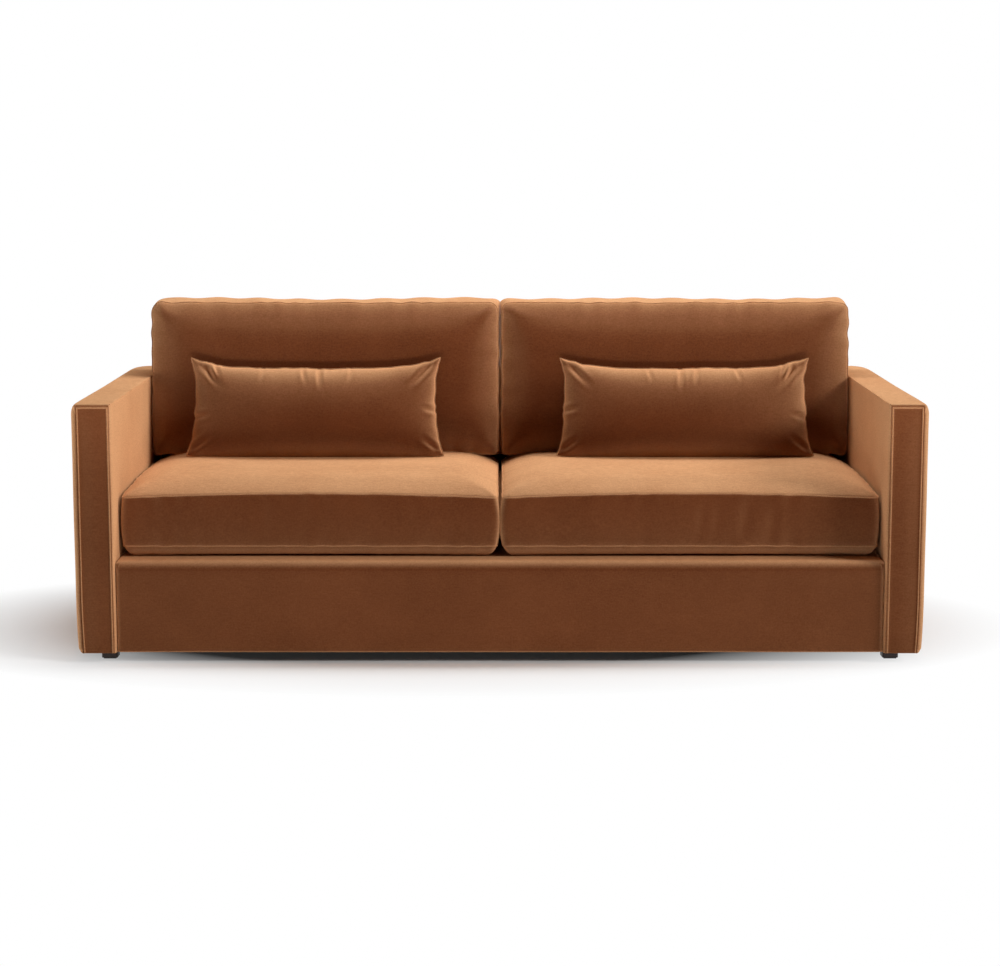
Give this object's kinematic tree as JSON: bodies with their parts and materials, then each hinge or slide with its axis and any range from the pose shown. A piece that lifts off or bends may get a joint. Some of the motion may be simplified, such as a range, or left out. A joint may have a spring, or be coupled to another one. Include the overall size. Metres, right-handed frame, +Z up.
{
  "type": "sofa",
  "caption": "Velvet sofa with narrow track arms, boxed seat and back cushions and lumbar pillows that lift off, on low block feet.",
  "frame": {"origin": "on the floor under the middle of the sofa's outline", "axes": "+X along the width to the right as seen from the front, -Y to the front, +Z up"},
  "size_m": [2.134, 1.016, 0.8853],
  "materials": {
    "velvet": "short-pile caramel velvet",
    "foam": "open-cell foam",
    "fibre": "fibre filling in a white tick",
    "webbing": "woven elastic band",
    "lining": "black non-woven",
    "hardwood": "sawn, unfinished",
    "foot_wood": "espresso stain, satin",
    "steel": "zinc plated",
    "glide_plastic": "moulded"
  },
  "bodies": {
    "frame": {"arm_front_panel_left": "velvet", "arm_front_panel_right": "velvet", "arm_front_post_left": "hardwood", "arm_front_post_right": "hardwood", "arm_inside_panel_left": "velvet", "arm_inside_panel_right": "velvet", "arm_outside_panel_left": "velvet", "arm_outside_panel_right": "velvet", "arm_padding_left": "foam", "arm_padding_right": "foam", "arm_top_panel_left": "velvet", "arm_top_panel_right": "velvet", "arm_top_rail_left": "hardwood", "arm_top_rail_right": "hardwood", "back_lower_rails": "hardwood", "back_middle_post": "hardwood", "back_padding": "foam", "back_post_left": "hardwood", "back_post_right": "hardwood", "back_top_rail": "hardwood", "back_webs_cross": "webbing", "back_webs_upright": "webbing", "deck_cloth": "velvet", "deck_pad": "foam", "dust_cover": "lining", "foot_blocks": "hardwood", "foot_bolts": "steel", "foot_front_left": "foot_wood", "foot_front_right": "foot_wood", "foot_glides": "glide_plastic", "foot_rear_left": "foot_wood", "foot_rear_right": "foot_wood", "foot_tee_nuts": "steel", "front_rail": "hardwood", "front_rail_padding": "foam", "front_rail_panel": "velvet", "inside_back_cover": "velvet", "middle_stretcher": "hardwood", "outside_back_cover": "velvet", "rear_rail": "hardwood", "seat_rear_rail": "hardwood", "seat_webs_crosswise": "webbing", "seat_webs_lengthwise": "webbing", "side_rail_left": "hardwood", "side_rail_right": "hardwood"},
    "seat_cushion_left": {"seat_cushion_cover_left": "velvet", "seat_cushion_core_left": "foam"},
    "back_cushion_left": {"back_cushion_cover_left": "velvet", "back_cushion_fill_left": "fibre"},
    "lumbar_pillow_left": {"lumbar_cover_left": "velvet", "lumbar_insert_left": "fibre"},
    "seat_cushion_right": {"seat_cushion_cover_right": "velvet", "seat_cushion_core_right": "foam"},
    "back_cushion_right": {"back_cushion_cover_right": "velvet", "back_cushion_fill_right": "fibre"},
    "lumbar_pillow_right": {"lumbar_cover_right": "velvet", "lumbar_insert_right": "fibre"}
  },
  "joints": [
    {"name": "seat_cushion_lift_left", "type": "slide", "parent": "frame", "child": "seat_cushion_left", "axis": [0, 0, 1], "range_m": [0, 0.4]},
    {"name": "back_cushion_lift_left", "type": "slide", "parent": "seat_cushion_left", "child": "back_cushion_left", "axis": [0, 0.0872, 0.9962], "range_m": [0, 0.35]},
    {"name": "lumbar_pillow_lift_left", "type": "slide", "parent": "seat_cushion_left", "child": "lumbar_pillow_left", "axis": [0, -0.5, 0.866], "range_m": [0, 0.3]},
    {"name": "seat_cushion_lift_right", "type": "slide", "parent": "frame", "child": "seat_cushion_right", "axis": [0, 0, 1], "range_m": [0, 0.4]},
    {"name": "back_cushion_lift_right", "type": "slide", "parent": "seat_cushion_right", "child": "back_cushion_right", "axis": [0, 0.0872, 0.9962], "range_m": [0, 0.35]},
    {"name": "lumbar_pillow_lift_right", "type": "slide", "parent": "seat_cushion_right", "child": "lumbar_pillow_right", "axis": [0, -0.5, 0.866], "range_m": [0, 0.3]}
  ]
}
